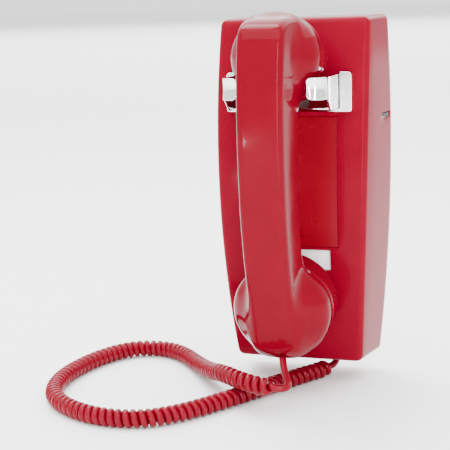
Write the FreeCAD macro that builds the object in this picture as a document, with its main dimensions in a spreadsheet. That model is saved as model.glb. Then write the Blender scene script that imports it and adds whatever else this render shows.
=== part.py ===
"""A wall telephone without a dial: moulded housing, chrome cradle, handset and curly cord.

Row frame: millimetres, +Z up, the wall plane at y = 0 and the front towards -Y.
The origin is the centre of the wall mount, midway between the base plate's two keyholes.
"""
import FreeCAD, Part
import math
import os
import re
import Sketcher
from FreeCAD import Placement, Rotation, Vector

DIMENSIONS = [
    # housing
    ("housing_height", 238.0), ("half_top", 55.42), ("half_widest", 57.77), ("half_bottom", 48.86),
    ("widest_level", 28.0), ("wall", 2.6), ("draft_inset", 6.9), ("draft_depth", 60.0),
    ("draft_top", 1.25), ("draft_bottom", 4.0), ("depth_top", 40.2), ("depth_middle", 55.6),
    ("depth_bottom", 40.8), ("edge_round", 3.6), ("corner_round", 4.5),
    # wall plate and its mount
    ("plate_width", 88.0), ("plate_height", 222.0), ("plate_thick", 1.6), ("keyhole_spacing", 83.0),
    ("keyhole_radius", 4.75), ("keyhole_slot", 2.4), ("keyhole_rise", 9.0), ("stud_reach", 3.8),
    ("tab_width", 70.0), ("tab_depth", 16.0), ("tab_gap", 1.4),
    # front furniture
    ("blank_width", 64.0), ("blank_low", -34.0), ("blank_high", 54.0), ("blank_thick", 2.4),
    ("blank_recess", 0.6), ("bracket_front", 52.7), ("bracket_lean", 1.24), ("fit_gap", 0.25), ("slot_left", 2.2), ("slot_width", 6.3), ("slot_level", -26.7), ("slot_height", 1.2),
    ("slot_deep", 1.0), ("card_width", 52.0), ("card_height", 14.0),
    ("card_level", -43.0), ("card_front", 52.4), ("card_lean", 5.4), ("card_thick", 0.5), ("window_thick", 1.0),
    # cradle
    ("cradle_half", 42.5), ("cradle_low", 57.3), ("cradle_high", 83.2), ("cradle_front", 57.2),
    ("cradle_back", 46.0), ("flange_width", 8.0), ("sheet_metal", 1.3), ("rail_height", 2.3),
    ("horn_half", 34.2), ("horn_root", 53.0), ("horn_bend", 84.5), ("horn_front", 99.0), ("horn_top", 82.2),
    ("horn_gap", 22.3), ("horn_bottom", 68.0), ("tray_low", 60.0), ("tray_front", 80.0),
    ("stem_half", 12.0), ("pivot_depth", 14.0), ("pivot_level", 61.0), ("pivot_radius", 1.5),
    ("barrel_radius", 3.4), ("running_gap", 0.06), ("moving_gap", 0.4),
    # handset
    ("receiver_level", 93.2), ("receiver_depth", 79.0), ("receiver_radius", 29.2),
    ("transmitter_level", -70.5), ("transmitter_depth", 77.0), ("transmitter_radius", 33.0),
    ("cap_tilt", 11.0), ("receiver_length", 19.0), ("transmitter_length", 22.0), ("cap_wall", 2.4), ("handle_half", 18.0),
    ("cup_wall", 3.0), ("capsule_radius", 23.5), ("handle_round", 4.5),
    # works inside
    ("gong_radius", 21.5), ("gong_depth", 11.0), ("gong_wall", 1.2), ("gong_spread", 24.0),
    ("gong_level", -82.0), ("gong_back", 22.0), ("screw_radius", 1.75), ("head_radius", 3.4),
    ("head_height", 2.2), ("wheel_radius", 9.5), ("wheel_thick", 2.4), ("wheel_level", 51.6),
    ("wheel_depth", 11.0), ("wheel_proud", 1.4),
    # cord
    ("coil_diameter", 12.3), ("wire_diameter", 4.8), ("gland_x", 22.0), ("gland_depth", 17.0),
]
ALIASES = {alias for alias, value in DIMENSIONS}
WORD = re.compile(r"[a-z][a-z_]*")
TINY = 1e-6

# The cord's route, in mm. The coil lies on a surface 13 mm below the housing and passes over itself.
COIL_ROUTE = [
    (12.0, -117.0, -114.0), (-5.0, -117.0, -113.2), (-22.0, -110.0, -112.3), (-39.0, -94.0, -113.4),
    (-57.0, -68.0, -121.0), (-76.0, -40.0, -125.4), (-92.0, -20.0, -125.85), (-108.0, -9.0, -125.85),
    (-127.0, -7.5, -125.85), (-141.0, -17.0, -125.85), (-151.0, -36.0, -125.85),
    (-158.0, -65.0, -125.85), (-158.5, -97.0, -125.85), (-149.0, -128.0, -125.85),
    (-127.0, -150.0, -125.85), (-99.0, -162.0, -125.85), (-70.0, -160.0, -125.85),
    (-50.0, -141.0, -125.85), (-36.0, -119.0, -125.85), (-24.0, -98.0, -125.85),
    (-12.0, -76.0, -125.85), (2.0, -52.5, -125.85), (16.0, -29.5, -125.85),
]
HANDSET_LEAD_ROUTE = [
    (3.1, -95.2, -101.4), (4.4, -100.0, -106.8), (6.9, -108.4, -111.4), (9.5, -117.0, -113.0),
]
BASE_LEAD_ROUTE = [
    (16.0, -29.5, -125.85), (20.0, -21.0, -125.2), (22.0, -17.0, -120.8), (22.0, -17.0, -113.9),
]

doc = FreeCAD.newDocument("WallTelephone")
sheet = doc.addObject("Spreadsheet::Sheet", "Dimensions")
for row, (alias, value) in enumerate(DIMENSIONS, start=1):
    sheet.set(f"A{row}", alias)
    sheet.set(f"B{row}", str(value))
    sheet.setAlias(f"B{row}", alias)
doc.recompute()
nodes = {}


def formula(text):
    """Point each dimension's name in a formula at its cell in the sheet."""
    return WORD.sub(lambda word: ("Dimensions." if word.group() in ALIASES else "") + word.group(), text)


def size(text):
    """Work out a formula's value from the sheet."""
    return float(sheet.evalExpression(formula(text)))


def sizes(*texts):
    return Vector(*[size(text) for text in texts])


def node(name, solid):
    """Name a finished sub-part, which also names its file."""
    solid.Label = name
    nodes[name] = solid
    return solid


def place(solid, at, rotation=None):
    """Put an object at a point given as three formulas."""
    if rotation:
        solid.Placement = Placement(Vector(), rotation)
    for axis, text in zip("xyz", at):
        solid.setExpression(f"Placement.Base.{axis}", formula(text))


def block(name, x, y, z):
    """Make a box from the low and high formulas of each side."""
    solid = doc.addObject("Part::Box", name)
    for side, (low, high) in zip(("Length", "Width", "Height"), (x, y, z)):
        solid.setExpression(side, formula(f"({high}) - ({low})"))
    place(solid, (x[0], y[0], z[0]))
    return solid


TURNS = {
    "x": Rotation(Vector(0, 1, 0), 90), "-x": Rotation(Vector(0, 1, 0), -90),
    "y": Rotation(Vector(1, 0, 0), -90), "-y": Rotation(Vector(1, 0, 0), 90), "z": Rotation(),
    "-z": Rotation(Vector(1, 0, 0), 180),
}


def rod(name, radius, length, start, axis):
    """Make a cylinder that runs from a start point along a row axis."""
    solid = doc.addObject("Part::Cylinder", name)
    solid.setExpression("Radius", formula(radius))
    solid.setExpression("Height", formula(length))
    place(solid, start, TURNS[axis])
    return solid


def join(name, parts):
    solid = doc.addObject("Part::MultiFuse", name)
    solid.Shapes = parts
    return solid


def cut(name, base, *tools):
    solid = doc.addObject("Part::Cut", name)
    solid.Base = base
    solid.Tool = tools[0] if len(tools) == 1 else join(name + "_tools", list(tools))
    return solid


def group(name, parts):
    """Keep identical pieces in one node as separate solids."""
    solid = doc.addObject("Part::Compound", name)
    solid.Links = parts
    return solid


def feature(name, shape):
    """Hold a shape that no sketch or primitive gives."""
    solid = doc.addObject("Part::Feature", name)
    solid.Shape = shape
    return solid


def sketch_on(body, name, plane):
    sketch = body.newObject("Sketcher::SketchObject", name)
    origin = next(item for item in body.Origin.OriginFeatures if item.Role == plane)
    sketch.AttachmentSupport = (origin, [""])
    sketch.MapMode = "FlatFace"
    return sketch


def outline(body, name, plane, corners):
    """Draw a closed outline whose corners, pairs of formulas, are bound to the sheet."""
    sketch = sketch_on(body, name, plane)
    points = [Vector(size(x), size(y), 0) for x, y in corners]
    count = len(points)
    for index, point in enumerate(points):
        sketch.addGeometry(Part.LineSegment(point, points[(index + 1) % count]))
    for index in range(count):
        sketch.addConstraint(Sketcher.Constraint("Coincident", index, 2, (index + 1) % count, 1))
    for index, corner in enumerate(corners):
        for kind, text, line in (("DistanceX", corner[0], -2), ("DistanceY", corner[1], -1)):
            if abs(size(text)) < TINY:
                sketch.addConstraint(Sketcher.Constraint("PointOnObject", index, 1, line))
                continue
            rule = Sketcher.Constraint(kind, -1, 1, index, 1, size(text))
            number = sketch.addConstraint(rule)
            sketch.setExpression(f"Constraints[{number}]", formula(text))
    return sketch


def circles(body, name, plane, rings):
    """Draw circles, each given by the formulas of its centre and radius."""
    sketch = sketch_on(body, name, plane)
    for index, (x, y, radius) in enumerate(rings):
        sketch.addGeometry(Part.Circle(Vector(size(x), size(y), 0), Vector(0, 0, 1), size(radius)))
        for kind, text, line in (("DistanceX", x, -2), ("DistanceY", y, -1)):
            if abs(size(text)) < TINY:
                sketch.addConstraint(Sketcher.Constraint("PointOnObject", index, 3, line))
                continue
            number = sketch.addConstraint(Sketcher.Constraint(kind, -1, 1, index, 3, size(text)))
            sketch.setExpression(f"Constraints[{number}]", formula(text))
        number = sketch.addConstraint(Sketcher.Constraint("Radius", index, size(radius)))
        sketch.setExpression(f"Constraints[{number}]", formula(radius))
    return sketch


def pad(body, name, sketch, length):
    solid = body.newObject("PartDesign::Pad", name)
    solid.Profile = sketch
    solid.setExpression("Length", formula(length))
    return solid


def pocket(body, name, sketch, length):
    """Cut a sketch both ways, so the pocket never points away from the solid."""
    solid = body.newObject("PartDesign::Pocket", name)
    solid.Profile = sketch
    solid.Midplane = True
    solid.setExpression("Length", formula(length))
    return solid


def extruded(name, plane, corners, length, at=("0", "0", "0"), rotation=None):
    """Pad an outline drawn on one of the body's own planes."""
    body = doc.addObject("PartDesign::Body", name)
    pad(body, name + "_pad", outline(body, name + "_outline", plane, corners), length)
    place(body, at, rotation)
    return body


def turned(name, profile, at=("0", "0", "0"), rotation=None):
    """Revolve a half profile, pairs of radius and height, about the body's own Z axis."""
    body = doc.addObject("PartDesign::Body", name)
    sketch = outline(body, name + "_profile", "XZ_Plane", profile)
    solid = body.newObject("PartDesign::Revolution", name + "_turn")
    solid.Profile = sketch
    solid.ReferenceAxis = (sketch, ["V_Axis"])
    solid.Angle = 360
    place(body, at, rotation)
    return body


def polar(body, name, seed, plane_axis, count):
    """Repeat a feature round one of the body's own axes."""
    pattern = body.newObject("PartDesign::PolarPattern", name)
    pattern.Originals = [seed]
    axis = next(item for item in body.Origin.OriginFeatures if item.Role == plane_axis)
    pattern.Axis = (axis, [""])
    pattern.Angle = 360
    pattern.Occurrences = count
    body.Tip = pattern
    return pattern


def screws(name, places, axis, length):
    """Make pan-head screws whose heads stand at the given points and whose shanks run along the axis."""
    solids = []
    for number, (x, y, z) in enumerate(places):
        profile = [("0", f"-({length})"), ("screw_radius", f"-({length})"), ("screw_radius", "0"),
                   ("head_radius", "0"), ("head_radius", "head_height * 0.6"),
                   ("head_radius * 0.6", "head_height"), ("0", "head_height")]
        solids.append(turned(f"{name}_{number}", profile, (x, y, z), TURNS[axis]))
    return node(name, group(name, solids))


# ---------------------------------------------------------------- housing

def bowed_face(y, inset, top, bottom):
    """Outline the housing at one depth: straight top and bottom, sides bowed outwards."""
    half_top = size("half_top") - inset
    half_widest = size("half_widest") - inset
    half_bottom = size("half_bottom") - inset
    level = size("widest_level")
    corners = [Vector(half_top, y, top), Vector(half_bottom, y, bottom)]
    corners += [Vector(-half_bottom, y, bottom), Vector(-half_top, y, top)]
    right = Part.Arc(corners[0], Vector(half_widest, y, level), corners[1]).toShape()
    left = Part.Arc(corners[2], Vector(-half_widest, y, level), corners[3]).toShape()
    base = Part.LineSegment(corners[1], corners[2]).toShape()
    head = Part.LineSegment(corners[3], corners[0]).toShape()
    return Part.Wire([right, base, left, head])


def housing_form(offset):
    """Make the tapered, front-bowed block, smaller by an offset on every side but the back."""
    half = size("housing_height / 2")
    depth = size("draft_depth")
    back = bowed_face(0.0, offset, half - offset, -half + offset)
    front = bowed_face(-depth, offset + size("draft_inset"), half - size("draft_top") - offset,
                       -half + size("draft_bottom") + offset)
    tapered = Part.makeLoft([back, front], True, True)
    margin = size("housing_height")
    low = Vector(-margin, -size("depth_bottom") + offset, -half)
    middle = Vector(-margin, -size("depth_middle") + offset, 0)
    high = Vector(-margin, -size("depth_top") + offset, half)
    bow = Part.Arc(low, middle, high).toShape()
    back_low = Vector(-margin, margin, -half)
    back_high = Vector(-margin, margin, half)
    edges = [bow, Part.LineSegment(high, back_high).toShape(),
             Part.LineSegment(back_high, back_low).toShape(), Part.LineSegment(back_low, low).toShape()]
    profile = Part.Face(Part.Wire(edges))
    return tapered.common(profile.extrude(Vector(2 * margin, 0, 0)))


def is_corner_edge(edge):
    """Say whether an edge runs from back to front at one of the housing's four corners."""
    direction = edge.valueAt(edge.LastParameter) - edge.valueAt(edge.FirstParameter)
    return abs(direction.y) > abs(direction.x) + abs(direction.z)


def touches_back(edge):
    return all(abs(vertex.Point.y) < TINY for vertex in edge.Vertexes)


def rounded_form(offset):
    form = housing_form(offset)
    corners = [edge for edge in form.Edges if is_corner_edge(edge)]
    form = form.makeFillet(size("corner_round") - offset, corners)
    front = [edge for edge in form.Edges if not touches_back(edge) and not is_corner_edge(edge)]
    return form.makeFillet(max(size("edge_round") - offset, 1.0), front)


def make_housing():
    shell = feature("housing_shell", rounded_form(0.0).cut(rounded_form(size("wall"))))
    through = ("-depth_middle - 5", "-depth_top + 6")
    openings = [
        block("blank_opening", ("-blank_width / 2", "blank_width / 2"), through,
              ("blank_low", "blank_high")),
        block("card_opening", ("-card_width / 2 - fit_gap", "card_width / 2 + fit_gap"), through,
              ("card_level - card_height / 2 - fit_gap", "card_level + card_height / 2 + fit_gap")),
        block("stem_opening", ("-stem_half - 1", "stem_half + 1"), through,
              ("tray_low - 0.6", "tray_low + 8")),
        block("wheel_opening", ("half_widest - 10", "half_widest + 4"),
              ("-wheel_depth - 9.4", "-wheel_depth + 8.2"),
              ("wheel_level - wheel_thick / 2 - moving_gap", "wheel_level + wheel_thick / 2 + moving_gap")),
        rod("gland_hole", "4.9", "12", ("gland_x", "-gland_depth", "-housing_height / 2 - 2"), "z"),
    ]
    for side in ("-", ""):
        openings.append(rod(f"screw_hole_{side or '+'}", "screw_radius + 0.3", "12",
                            (f"{side}28", "-9", "-housing_height / 2 - 2"), "z"))
    return node("housing", cut("housing", shell, *openings))


# ---------------------------------------------------------------- wall plate

def make_base_plate():
    body = doc.addObject("PartDesign::Body", "plate_body")
    sheet_outline = [("-plate_width / 2", "-plate_height / 2"), ("plate_width / 2", "-plate_height / 2"),
                     ("plate_width / 2", "plate_height / 2"), ("-plate_width / 2", "plate_height / 2")]
    pad(body, "plate_pad", outline(body, "plate_outline", "XZ_Plane", sheet_outline), "plate_thick")
    for name, level in (("upper", "keyhole_spacing / 2"), ("lower", "-keyhole_spacing / 2")):
        slot = [("-keyhole_slot", level), ("keyhole_slot", level),
                ("keyhole_slot", f"{level} + keyhole_rise"), ("-keyhole_slot", f"{level} + keyhole_rise")]
        pocket(body, name + "_slot", outline(body, name + "_slot_outline", "XZ_Plane", slot), "8")
        ring = circles(body, name + "_ring", "XZ_Plane", [("0", level, "keyhole_radius")])
        pocket(body, name + "_hole", ring, "8")
    plug = [("-8.2", "-9.2"), ("8.2", "-9.2"), ("8.2", "9.2"), ("-8.2", "9.2")]
    pocket(body, "plug_hole", outline(body, "plug_outline", "XZ_Plane", plug), "8")
    lower = "-housing_height / 2 + wall + tab_gap"
    tab = block("plate_tab", ("-tab_width / 2", "tab_width / 2"), ("-tab_depth", "0"),
                (lower, f"{lower} + plate_thick"))
    web = block("plate_web", ("-tab_width / 2", "tab_width / 2"), ("-plate_thick", "0"),
                (lower, "-plate_height / 2 + 2"))
    whole = join("plate_whole", [body, tab, web])
    holes = [rod(f"tab_hole_{side or '+'}", "screw_radius", "10", (f"{side}28", "-9", f"{lower} - 4"), "z")
             for side in ("-", "")]
    holes.append(rod("tab_gland_hole", "6.2", "10", ("gland_x", "-gland_depth", f"{lower} - 4"), "z"))
    return node("base_plate", cut("base_plate", whole, *holes))


def stud_window(name, level):
    """Make the space that a wall stud's head sweeps behind its keyhole."""
    return block(name, ("-keyhole_radius - 1.2", "keyhole_radius + 1.2"), ("-plate_thick - stud_reach", "-plate_thick + 1"),
                 (f"{level} - keyhole_radius - 1.2", f"{level} + keyhole_rise + keyhole_radius + 1.2"))


def make_wall_plug():
    """Make the modular plug that goes into the wall jack behind the phone."""
    shell = block("plug_shell", ("-6", "6"), ("-11", "9"), ("-4", "4"))
    latch = block("plug_latch", ("-1.6", "1.6"), ("-2", "8"), ("4", "5.4"))
    flange = block("plug_flange", ("-7.8", "7.8"), ("-9", "-2"), ("-8.6", "8.6"))
    contacts = [block(f"contact_slot_{number}", (f"{x} - 0.3", f"{x} + 0.3"), ("5", "9.5"), ("-4.5", "-2.5"))
                for number, x in enumerate((-3, -1, 1, 3))]
    return node("wall_plug", cut("wall_plug", join("plug_whole", [shell, latch, flange]), *contacts))


# ---------------------------------------------------------------- front furniture

def lean(degrees):
    """Tip a front piece so that it lies along the housing's bowed front."""
    return Rotation(Vector(1, 0, 0), size(degrees))


BRACKET_PLACE = ("0", "-bracket_front", "(blank_low + blank_high) / 2")


def centred(width, height):
    """List the corners of a rectangle about the origin."""
    return [(f"-({width}) / 2", f"-({height}) / 2"), (f"({width}) / 2", f"-({height}) / 2"),
            (f"({width}) / 2", f"({height}) / 2"), (f"-({width}) / 2", f"({height}) / 2")]


def bow(level):
    """Give the depth of the housing's front at a level."""
    half = "(housing_height / 2)"
    return (f"(depth_middle + (depth_top - depth_bottom) / 2 / {half} * ({level})"
            f" + ((depth_top + depth_bottom) / 2 - depth_middle) / {half}^2 * ({level})^2)")


def make_dial_blank():
    """Make the plain plate that fills the dial's place: bowed like the front, with a small slot low down."""
    steps = 6
    low, high = "(blank_low + fit_gap)", "(blank_high - fit_gap)"
    levels = [f"({low} + ({high} - {low}) * {step} / {steps})" for step in range(steps + 1)]
    face = [(f"blank_recess - {bow(level)}", level) for level in levels]
    back = [(f"blank_recess + blank_thick - {bow(level)}", level) for level in reversed(levels)]
    plate = extruded("blank_plate", "YZ_Plane", face + back, "blank_width - 2 * fit_gap",
                     ("fit_gap - blank_width / 2", "0", "0"))
    slot = block("blank_slot", ("slot_left", "slot_left + slot_width"),
                 ("-depth_middle", f"blank_recess + slot_deep - {bow('slot_level')}"),
                 ("slot_level - slot_height / 2", "slot_level + slot_height / 2"))
    return node("dial_blank", cut("dial_blank", plate, slot))


def make_blank_bracket():
    """Make the sheet frame that presses the blank into its opening from behind."""
    half = "blank_width / 2"
    reach = "(blank_high - blank_low) / 2"
    front = "blank_thick"
    frame = block("bracket_frame", (f"-{half} - 5", f"{half} + 5"), (front, f"{front} + 1.2"),
                  (f"-({reach}) + 0.8", f"{reach} + 1.2"))
    centre = block("bracket_centre", (f"-{half} + 6", f"{half} - 6"), (f"{front} - 1", f"{front} + 3"),
                   (f"-({reach}) + 6", f"{reach} - 6"))
    legs = []
    for side, low, high in (("left", f"-{half} - 5", f"-{half} - 3.8"), ("right", f"{half} + 3.8", f"{half} + 5")):
        legs.append(block(f"bracket_leg_{side}", (low, high), (f"{front} + 1", "bracket_front - plate_thick - 0.4"),
                          ("-14", "0")))
    whole = join("blank_bracket", [cut("bracket_ring", frame, centre)] + legs)
    place(whole, BRACKET_PLACE, lean("-bracket_lean"))
    return node("blank_bracket", whole)


def make_card():
    """Stack the clear window, the card and their holder from front to back."""
    depth = "0"
    layers = (("card_window", "window_thick", "card_width", "card_height"),
              ("number_card", "card_thick", "card_width", "card_height"),
              ("card_holder", "1.2", "card_width + 8", "card_height + 2.4"))
    for name, thick, width, height in layers:
        body = doc.addObject("PartDesign::Body", name)
        layer = outline(body, name + "_outline", "XZ_Plane", centred(width, height))
        pad(body, name + "_pad", layer, thick).Reversed = True
        angle = math.radians(size("card_lean"))
        place(body, ("0", f"-card_front + ({depth}) * {math.cos(angle):.6f}",
                     f"card_level + ({depth}) * {math.sin(angle):.6f}"), lean("card_lean"))
        node(name, body)
        depth = f"{depth} + {thick}"


# ---------------------------------------------------------------- cradle and hook

def make_cradle_bezel():
    """Make the fixed chrome frame: a flange at each side and a rail below, open at the top."""
    deep = ("-cradle_front", "-cradle_back")
    whole = block("bezel_block", ("-cradle_half", "cradle_half"), deep, ("cradle_low", "cradle_high"))
    inner = "cradle_half - flange_width + 0.1"
    gap = block("bezel_gap", (f"-({inner})", inner), ("-cradle_front - 1", "-cradle_back + 1"),
                ("cradle_low + rail_height", "cradle_high + 1"))
    hollows = []
    for side, low, high in (("left", "-cradle_half + sheet_metal", f"-({inner}) - sheet_metal"),
                            ("right", f"{inner} + sheet_metal", "cradle_half - sheet_metal")):
        hollows.append(block(f"bezel_hollow_{side}", (low, high), ("-cradle_front + sheet_metal", "-cradle_back + 1"),
                             ("cradle_low + sheet_metal", "cradle_high - sheet_metal")))
    frame = cut("bezel_frame", whole, gap, *hollows)
    body_behind = feature("bezel_behind", housing_form(0.0))
    return node("cradle_bezel", cut("cradle_bezel", frame, body_behind))


def horn_outline(side):
    """Plan of one horn: a side plate that runs forward and a lobe that turns in across the cup."""
    outer = [("horn_half", "-horn_root"), ("horn_half", "-horn_bend"), ("horn_half - 2.2", "-horn_front + 4"),
             ("horn_half - 6", "-horn_front + 0.9"), ("horn_half - 10", "-horn_front"),
             ("horn_gap", "-horn_front")]
    inner = [("horn_gap", "-horn_front + sheet_metal"), ("horn_half - 9.6", "-horn_front + sheet_metal"),
             ("horn_half - 6.8", "-horn_front + 2.1"), ("horn_half - 3.4", "-horn_front + 4.6"),
             ("horn_half - sheet_metal", "-horn_bend"), ("horn_half - sheet_metal", "-horn_root")]
    return [(f"{side}({x})", y) for x, y in outer + inner]


def make_hook():
    """Make the moving chrome hook: two horns, the tray that carries the receiver, and the stem."""
    pieces = []
    for name, side in (("left", "-"), ("right", "")):
        horn = extruded(f"horn_{name}", "XY_Plane", horn_outline(side), "horn_top - tray_low",
                        ("0", "0", "tray_low"))
        relief = block(f"horn_relief_{name}", (f"{side}horn_half - 13.5", f"{side}horn_half + 13.5"),
                       ("-horn_front - 3", "-tray_front"), ("tray_low - 1", "horn_bottom"))
        pieces.append(cut(f"horn_cut_{name}", horn, relief))
    pieces.append(block("hook_tray", ("-horn_half", "horn_half"), ("-tray_front + 6", "-horn_root"),
                        ("tray_low", "tray_low + sheet_metal")))
    pieces.append(block("hook_stem", ("-stem_half", "stem_half"), ("-horn_root - 1", "-36"),
                        ("tray_low", "tray_low + sheet_metal")))
    return node("cradle_hook", join("cradle_hook", pieces))


def make_hook_works():
    """Make the lever behind the hook, its pivot, spring and switch."""
    level = "tray_low + sheet_metal"
    arm = block("lever_arm", ("-stem_half + 2", "stem_half - 2"), ("-46", "-pivot_depth"),
                (level, f"{level} + 1.5"))
    barrel = rod("lever_barrel", "barrel_radius", "stem_half * 2 - 4",
                 ("-stem_half + 2", "-pivot_depth", "pivot_level"), "x")
    finger = block("lever_finger", ("-11", "11"), ("-pivot_depth - 8", "-pivot_depth - 6.4"),
                   ("pivot_level - 16", "pivot_level + 1"))
    bore = rod("lever_bore", "pivot_radius + running_gap", "40", ("-20", "-pivot_depth", "pivot_level"), "x")
    node("hook_lever", cut("hook_lever", join("lever_whole", [arm, barrel, finger]), bore))
    node("hook_pin", rod("hook_pin", "pivot_radius", "32", ("-16", "-pivot_depth", "pivot_level"), "x"))
    cheeks = []
    for side, low, high in (("left", "-15", "-13.4"), ("right", "13.4", "15")):
        cheeks.append(block(f"cheek_{side}", (low, high), ("-pivot_depth - 7", "-plate_thick"),
                            ("pivot_level - 24", "pivot_level + 8")))
    foot = block("bracket_foot", ("-15", "15"), ("-plate_thick - 1.5", "-plate_thick"),
                 ("pivot_level - 24", "pivot_level + 8"))
    pin_hole = rod("cheek_hole", "pivot_radius", "40", ("-20", "-pivot_depth", "pivot_level"), "x")
    window = stud_window("bracket_window", "keyhole_spacing / 2")
    node("hook_bracket", cut("hook_bracket", join("bracket_whole", cheeks + [foot]), pin_hole, window))
    spring = cut("hook_spring", rod("spring_outer", "3", "2.6", ("10.6", "-pivot_depth", "pivot_level"), "x"),
                 rod("spring_inner", "pivot_radius", "6", ("9", "-pivot_depth", "pivot_level"), "x"))
    node("hook_spring", spring)
    blades = [block(f"blade_{number}", (f"{x} - 1.6", f"{x} + 1.6"), (f"-24.2 - {gap}", f"-23.8 - {gap}"),
                    ("pivot_level - 46", "pivot_level - 14"))
              for number, (x, gap) in enumerate(((-9, 0), (-9, 2.4), (9, 0), (9, 2.4)))]
    node("switch_blades", group("switch_blades", blades))
    stack = block("switch_stack_block", ("-12", "12"), ("-29", "-plate_thick"),
                  ("pivot_level - 52", "pivot_level - 44"))
    slots = [block(f"stack_slot_{number}", (f"{x} - 1.6", f"{x} + 1.6"), (f"-24.2 - {gap}", f"-23.8 - {gap}"),
                   ("pivot_level - 46", "pivot_level - 40"))
             for number, (x, gap) in enumerate(((-9, 0), (-9, 2.4), (9, 0), (9, 2.4)))]
    return node("switch_stack", cut("switch_stack", stack, *slots))


# ---------------------------------------------------------------- handset

OUTER_CURVE = [
    (-88.0, 121.0), (-104.0, 119.0), (-113.0, 116.5), (-119.0, 113.0), (-122.3, 107.0), (-124.2, 98.0),
    (-126.2, 84.0), (-127.6, 66.0), (-128.0, 40.0), (-125.6, 0.0), (-119.6, -34.0), (-111.0, -62.0),
    (-103.5, -82.0), (-97.5, -94.0), (-88.0, -99.5),
]
INNER_CURVE = [
    (-84.0, -60.0), (-88.0, -42.0), (-94.0, -22.0), (-98.5, 4.0), (-100.0, 36.0), (-97.0, 56.0),
    (-90.0, 70.0), (-86.0, 96.0),
]
CUP_PROFILE = [
    (0.0, 1.0), (6.0, 1.0), (10.0, 0.985), (14.0, 0.93), (18.0, 0.84), (22.0, 0.73), (27.0, 0.58),
]


def cap_rotation(sign):
    """Turn +Z to the way a cap faces: towards the wall and towards the handset's middle."""
    tilt = math.radians(size("cap_tilt"))
    return Rotation(Vector(0, 0, 1), Vector(0, math.cos(tilt), -sign * math.sin(tilt)))


def cap_place(kind):
    sign = 1 if kind == "receiver" else -1
    centre = ("0", f"-{kind}_depth", f"{kind}_level")
    return centre, cap_rotation(sign)


def bar_shape(shrink):
    """Extrude the handle's side view across its width."""
    outer = [Vector(0, y + shrink, z) for y, z in OUTER_CURVE]
    inner = [Vector(0, y - shrink, z) for y, z in INNER_CURVE]
    face_curve = Part.BSplineCurve()
    face_curve.interpolate(outer)
    belly_curve = Part.BSplineCurve()
    belly_curve.interpolate(inner)
    edges = [face_curve.toShape(), Part.LineSegment(outer[-1], inner[0]).toShape(), belly_curve.toShape(),
             Part.LineSegment(inner[-1], outer[0]).toShape()]
    half = size("handle_half") - shrink
    bar = Part.Face(Part.Wire(edges)).extrude(Vector(2 * half, 0, 0))
    bar.translate(Vector(-half, 0, 0))
    return bar


def cup_shape(kind, length_scale):
    """Turn the cup that stands behind a cap: full at the rim and tapering towards the handle."""
    radius = size(f"{kind}_radius")
    profile = [Vector(radius * share, 0, -axial * length_scale) for axial, share in CUP_PROFILE]
    edges = [Part.LineSegment(Vector(), profile[0]).toShape()]
    edges += [Part.LineSegment(start, end).toShape() for start, end in zip(profile, profile[1:])]
    tip = Vector(0, 0, profile[-1].z)
    edges += [Part.LineSegment(profile[-1], tip).toShape(), Part.LineSegment(tip, Vector()).toShape()]
    cup = Part.Face(Part.Wire(edges)).revolve(Vector(), Vector(0, 0, 1), 360)
    centre, rotation = cap_place(kind)
    cup.Placement = Placement(sizes(*centre), rotation)
    return cup


def cavity_shape(kind):
    """Bore the stepped well for a capsule, open at the rim."""
    wide = Part.makeCylinder(size(f"{kind}_radius - cup_wall - 1.4"), 6.0, Vector(0, 0, -4.0))
    narrow = Part.makeCylinder(size(f"{kind}_radius - 11"), 14.0, Vector(0, 0, -12.0))
    well = wide.fuse(narrow)
    centre, rotation = cap_place(kind)
    well.Placement = Placement(sizes(*centre), rotation)
    return well


def make_handset_handle():
    bar = bar_shape(0.0)
    long_edges = [edge for edge in bar.Edges if edge.Length > size("housing_height / 2")
                  and edge.BoundBox.YMin < -120]
    bar = bar.makeFillet(size("handle_round"), long_edges)
    form = bar.fuse([cup_shape("receiver", 1.0), cup_shape("transmitter", 0.9)]).removeSplitter()
    channel = Part.makeCylinder(5.5, size("receiver_level - transmitter_level") - 20.0,
                                Vector(0, -107.0, size("transmitter_level") + 12.0), Vector(0, -0.06, 1))
    cord_hole = Part.makeCylinder(size("wire_diameter / 2 + 0.35"), 30.0, Vector(3.4, -97.6, -105.2),
                                  Vector(-0.6, 6.0, 10.5))
    hollows = [cavity_shape("receiver"), cavity_shape("transmitter"), channel, cord_hole]
    return node("handset_handle", feature("handset_handle", form.cut(hollows)))


def make_cap(kind, rings):
    """Turn a cap, dished at its face, and pierce it with rings of holes."""
    radius = f"{kind}_radius"
    length = f"{kind}_length"
    profile = [(f"{radius} - cap_wall", "0.3"), (radius, "0.3"), (radius, f"{length} * 0.55"),
               (f"{radius} - 1.2", f"{length} * 0.75"), (f"{radius} - 4.5", f"{length} - 1"),
               (f"{radius} - 7", length), (f"{radius} - 10", f"{length} - 0.6"),
               ("0", f"{length} - 2.4"), ("0", f"{length} - 4.8"), (f"{radius} - 10", f"{length} - 3"),
               (f"{radius} - 5.5", f"{length} - 4"), (f"{radius} - cap_wall", f"{length} * 0.6")]
    centre, rotation = cap_place(kind)
    body = turned(f"{kind}_cap", profile, centre, rotation)
    doc.recompute()
    for number, (distance, hole, count) in enumerate(rings):
        ring = circles(body, f"{kind}_hole_{number}", "XY_Plane", [(distance, "0", hole)])
        hole_cut = pocket(body, f"{kind}_pocket_{number}", ring, "60")
        if count > 1:
            polar(body, f"{kind}_ring_{number}", hole_cut, "Z_Axis", count)
    return node(f"{kind}_cap", body)


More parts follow.
